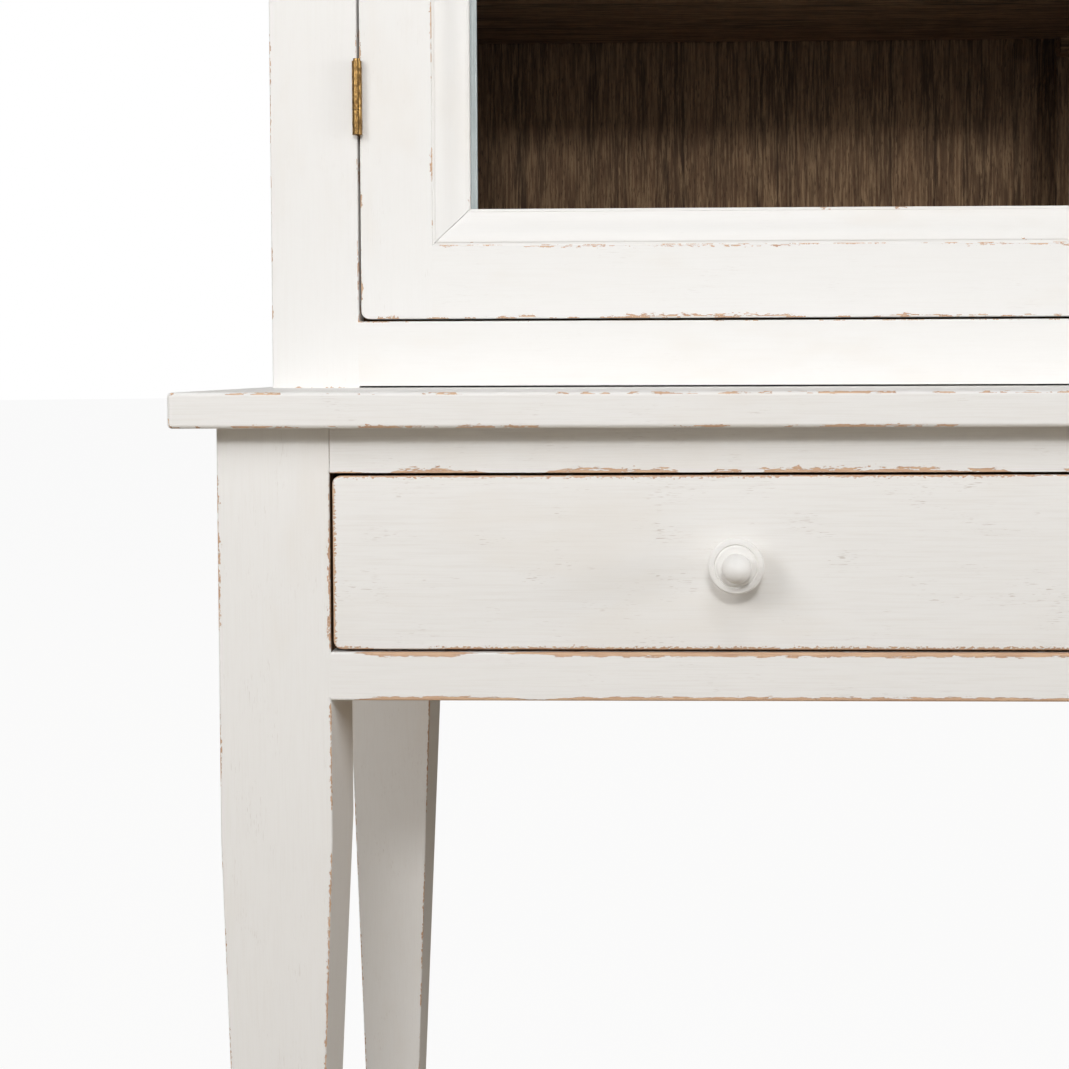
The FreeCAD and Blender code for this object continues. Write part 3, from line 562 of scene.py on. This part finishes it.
for side in ("left", "right"):
    first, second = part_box(f"door_{side}_hinge_stile"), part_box(f"door_{side}_meeting_stile")
    if side == "right":
        first, second = second, first
    railLow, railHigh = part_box(f"door_{side}_rail_bottom"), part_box(f"door_{side}_rail_top")
    openFrame(f"door_{side}_frame",
              [f"door_{side}_{part}" for part in ("hinge_stile", "meeting_stile", "rail_bottom", "rail_top")],
              [first[0][0], first[1][0], second[0][0], second[1][0]],
              [railLow[0][2], railLow[1][2], railHigh[0][2], railHigh[1][2]],
              [first[0][1], first[1][1]], [(1, 1)], (1, 1),
              ["brushedPaintDoorStile", "brushedPaintDoorRail"], 1.2, 6.5)
    glazingBead(side)
print("doors done")


# mitred glazing mouldings

mouldingLook = {
    "quirkWidth": 1.6,      # mm, the narrow groove beside the door's flat
    "quirkDepth": 1.0,
    "shoulderRound": 1.3,
    "sunk": 0.2,            # how far the whole moulding lies below the door's face
    "slopeEnd": 27.4,
    "slopeDepth": 8.0,
    "ogee": 0.11,           # how strongly the slope swells and hollows
    "lipWidth": 2.3,
    "lipRise": 0.3,
    "lipRound": 1.2,
    "mitreGap": 0.3,
}


def mouldingSection(width, backDepth):
    # (inward, depth, ridge) in mm: groove, rounded shoulder, long ogee and a lip at the glass;
    # ridge is how far a point counts from the nearest rubbed edge
    look = mouldingLook
    unrubbed, sunk = 9, look["sunk"]
    start, shoulder, lip = look["quirkWidth"], look["shoulderRound"], look["lipRound"]
    points = [(0, backDepth, unrubbed), (0, look["quirkDepth"], unrubbed),
              (start, look["quirkDepth"], unrubbed)]
    quarter = [math.radians(22.5 * step) for step in range(5)]
    for step, turn in enumerate(quarter):
        points.append((start + shoulder * (1 - math.cos(turn)), shoulder * (1 - math.sin(turn)) + sunk,
                       0.2 * step))
    first = start + shoulder
    slopeSteps = 16
    for step in range(1, slopeSteps + 1):
        share = step / slopeSteps
        inward = first + (look["slopeEnd"] - first) * share
        depth = sunk + look["slopeDepth"] * (share - math.sin(2 * math.pi * share) * look["ogee"])
        points.append((inward, depth, unrubbed if step > 1 else 2))
    top = look["slopeDepth"] - look["lipRise"]
    points.append((width - look["lipWidth"], top, 0.6))
    for turn in quarter:
        points.append((width - lip * (1 - math.sin(turn)), top + 0.5 + lip * (1 - math.cos(turn)), 0.8))
    points.append((width, backDepth, unrubbed))
    return points


def strip(shape, section, doorFace, corners, gapLayer, across):
    # one mitred length: the section placed at both corners, joined and capped
    ends = []
    gap = mouldingLook["mitreGap"] * mm
    for x, z, inX, inZ, alongX, alongZ in corners:
        ring = []
        for inward, depth, ridge in section:
            place = (x + inX * inward * mm + alongX * gap, doorFace + depth * mm,
                     z + inZ * inward * mm + alongZ * gap)
            vertex = shape.verts.new(place)
            vertex[gapLayer] = ridge * mm
            ring.append(vertex)
        ends.append(ring)
    count = len(section)
    for index in range(count):
        following = (index + 1) % count
        face = shape.faces.new([ends[0][index], ends[0][following], ends[1][following], ends[1][index]])
        face.material_index = 0 if across else 1
    for ring in ends:
        shape.faces.new(ring)


def mouldingRing(side):
    nodeName = f"door_{side}_moulding"
    (left, _, bottom), (right, _, top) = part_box(nodeName)
    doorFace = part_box(f"door_{side}_hinge_stile")[0][1]
    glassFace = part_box(f"door_{side}_glass")[0][1]
    section = mouldingSection(30.0, (glassFace - doorFace) / mm)
    shape = bmesh.new()
    gapLayer = shape.verts.layers.float.new("ridge")
    # each corner: x, z, the way in along x and z, and the way along the length for the mitre's gap
    for z, inZ in ((bottom, 1), (top, -1)):
        corners = [(left, z, 1, inZ, 1, 0), (right, z, -1, inZ, -1, 0)]
        strip(shape, section, doorFace, corners, gapLayer, True)
    for x, inX in ((left, 1), (right, -1)):
        corners = [(x, bottom, inX, 1, 0, 1), (x, top, inX, -1, 0, -1)]
        strip(shape, section, doorFace, corners, gapLayer, False)
    bmesh.ops.recalc_face_normals(shape, faces=shape.faces)
    ridges = [vertex[gapLayer] for vertex in shape.verts]
    piece = finishPiece(shape, nodeName + "_mitred", [nodeName],
                        ["brushedPaintMouldingAcross", "brushedPaintMouldingUpright"], ridge=ridges,
                        sharpAngle=38)
    clearGaps(piece.data)  # the wear follows the ridges here, not the outer box


for side in ("left", "right"):
    mouldingRing(side)
print("mouldings done")


# turned knobs

knobLook = {
    "baseRadius": 14.5,   # mm
    "neckRadius": 8.0,
    "headRadius": 19.5,
    "headOut": 19.0,      # how far the widest ring stands off the face
    "grooveRadius": 14.3,
    "ballRadius": 10.25,
    "tipOut": 42.0,
    "sides": 72,
}


def arc(centre, radius, start, end, steps):
    # points on an arc, as (out, radius) pairs; angles in degrees from the outward axis
    points = []
    for step in range(steps + 1):
        turn = math.radians(start + (end - start) * step / steps)
        points.append((centre[0] + radius * math.cos(turn), centre[1] + radius * math.sin(turn)))
    return points


def knobProfile():
    look = knobLook
    head, out = look["headRadius"], look["headOut"]
    points = [(0, 0), (0, look["baseRadius"] - 0.6)]
    points += arc((1.8, look["baseRadius"] - 1.2), 1.2, 100, 20, 4)          # base bead
    points += arc((9.5, look["neckRadius"] + 6.2), 6.2, 195, 300, 8)          # cove of the neck
    points += arc((out, head - 2.4), 2.4, 150, 20, 7)                         # rounded rim
    groove = look["grooveRadius"]
    points += [(out + 2.3, groove + 1.2), (out + 1.2, groove + 0.3), (out + 2.2, groove - 0.7)]
    points += [(out + 2.6, groove - 1.6), (out + 2.4, look["ballRadius"] - 1.0)]
    centre = look["tipOut"] - look["ballRadius"]
    points += arc((centre, 0), look["ballRadius"], 126, 0, 14)
    return points


def turnedKnob(nodeName):
    low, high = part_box(nodeName)
    x, z = (low[0] + high[0]) / 2, (low[2] + high[2]) / 2
    face = low[1] + knobLook["tipOut"] * mm
    shape = bmesh.new()
    rings = []
    for out, radius in knobProfile():
        ring = []
        for side in range(knobLook["sides"]):
            turn = 2 * math.pi * side / knobLook["sides"]
            ring.append(shape.verts.new((x + radius * mm * math.cos(turn), face - out * mm,
                                         z + radius * mm * math.sin(turn))))
        rings.append(ring)
    for first, second in zip(rings, rings[1:]):
        for side in range(len(first)):
            following = (side + 1) % len(first)
            shape.faces.new([first[side], first[following], second[following], second[side]])
    bmesh.ops.remove_doubles(shape, verts=shape.verts, dist=0.001 * mm)
    bmesh.ops.recalc_face_normals(shape, faces=shape.faces)
    clearGaps(finishPiece(shape, nodeName + "_turned", [nodeName], ["brushedPaintKnob"], sharpAngle=50).data)


for nodeName in ("drawer_knob_left", "drawer_knob_right", "door_left_knob", "door_right_knob"):
    turnedKnob(nodeName)
print("knobs done")


# nodes that keep their own shape

keptNodes = {
    "door_left_glass": "glass", "door_right_glass": "glass",
    "left_door_hinge_leaves": "brass", "right_door_hinge_leaves": "brass",
    "left_frame_hinge_leaves": "brass", "right_frame_hinge_leaves": "brass",
    "left_hinge_pins": "brass", "right_hinge_pins": "brass",
}
for nodeName, finish in keptNodes.items():
    keptMesh = frame["nodes"][nodeName].data
    keptMesh.materials.clear()
    keptMesh.materials.append(finishes[finish])
print("glass and hinges done")


# floor, light and camera

stageLook = {"floorRadius": 40.0, "floorLift": 0.95, "worldFill": 0.05}


def mattPaper():
    # matt paper sweep with a faint tooth; the lift keeps it a plain pale ground in every view
    material, add = newMaterial("paperSweepMatt")
    tooth = grain(add, "x", 4 * mm, 4 * mm, 3.0)
    share = add("MapRange", {0: tooth, 1: 0.3, 2: 0.7})
    colour = add("Mix", {0: share, 6: "#AFA596", 7: "#A89E8F"}, 2, data_type="RGBA")
    bump = add("Bump", {"Strength": 0.2, "Distance": 0.1 * mm, "Height": tooth})
    shader = add("BsdfPrincipled", {"Roughness": 0.85, "Base Color": colour, "Normal": bump})
    lift = add("MapRange", {0: add("LightPath", {}, "Is Camera Ray"), 4: stageLook["floorLift"]})
    glow = add("Emission", {"Color": "#FFFFFF", "Strength": 1.0})
    add("OutputMaterial", {0: add("MixShader", {0: lift, 1: shader, 2: glow})})
    return material


disc = bmesh.new()
bmesh.ops.create_circle(disc, cap_ends=True, segments=96, radius=stageLook["floorRadius"])
floorMesh = bpy.data.meshes.new("floor")
disc.to_mesh(floorMesh)
disc.free()
floorMesh.materials.append(mattPaper())
floor = bpy.data.objects.new("floor", floorMesh)
bpy.context.collection.objects.link(floor)

world = bpy.data.worlds.new("studio")
bpy.context.scene.world = world
world.use_nodes = True
world.node_tree.nodes.clear()
add = partial(addNode, world.node_tree)
seen = add("LightPath", {}, "Is Camera Ray")
# warm, as light off a wooden floor
fill = add("Background", {"Color": "#FFEEDD", "Strength": stageLook["worldFill"]})
backdrop = add("Background", {"Color": "#FFFFFF", "Strength": 1.0})
add("OutputWorld", {0: add("MixShader", {0: seen, 1: fill, 2: backdrop})})

target = Vector((-0.35, -0.2, 0.8))
lamps = {
    "keySoftbox": {"at": (-0.35, -3.2, 2.2), "size": (0.5, 0.35), "power": 31.5, "aim": target},
    "highSoftbox": {"at": (-0.3, -1.9, 3.0), "size": (0.5, 0.5), "power": 7, "aim": target},
    "leftSoftbox": {"at": (-2.6, -2.6, 2.2), "size": (1.4, 1.4), "power": 42, "aim": target},
    "broadSoftbox": {"at": (-0.35, -3.0, 3.0), "size": (5.0, 1.8), "power": 30, "aim": target},
    "rightSoftbox": {"at": (2.6, -1.0, 1.2), "size": (0.6, 0.6), "power": 26, "aim": Vector((-0.6, 0, 0.4))},
    "backSoftbox": {"at": (-0.3, 2.8, 3.2), "size": (5.0, 2.5), "power": 55, "aim": Vector((-0.3, 1.6, 0))},
}
for lampName, look in lamps.items():
    lamp = bpy.data.lights.new(lampName, "AREA")
    lamp.shape = "RECTANGLE"
    lamp.size, lamp.size_y = look["size"]
    lamp.energy = look["power"]
    lampObject = bpy.data.objects.new(lampName, lamp)
    lampObject.location = look["at"]
    lampObject.rotation_euler = (look["aim"] - Vector(look["at"])).to_track_quat("-Z", "Y").to_euler()
    lampObject.visible_camera = False
    bpy.context.collection.objects.link(lampObject)

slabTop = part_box("stand_top")[1][2]
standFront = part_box("leg_front_left")[0][1]
cameraLook = {
    "across": -0.4236,      # m from the cabinet's middle
    "distance": 1.085,      # m in front of the stand
    "aboveSlab": 0.018,
    "lens": 52.17,          # mm on a 36 mm sensor
    "shiftX": -0.088,
    "shiftY": -0.1138,
    "pitch": -1.77,         # degrees, down
    "yaw": -1.467,          # degrees, towards the left
    "roll": 0.2,
}
camera = bpy.data.cameras.new("camera")
camera.lens = cameraLook["lens"]
camera.sensor_width = 36
camera.shift_x = cameraLook["shiftX"]
camera.shift_y = cameraLook["shiftY"]
camera.dof.use_dof = False
cameraObject = bpy.data.objects.new("camera", camera)
cameraObject.location = (cameraLook["across"], standFront - cameraLook["distance"],
                         slabTop + cameraLook["aboveSlab"])
cameraObject.rotation_euler = (math.radians(90 + cameraLook["pitch"]), math.radians(cameraLook["roll"]),
                               math.radians(-cameraLook["yaw"]))
bpy.context.collection.objects.link(cameraObject)
bpy.context.scene.camera = cameraObject
bpy.context.scene.view_settings.view_transform = "Standard"
print("stage, light and camera done")
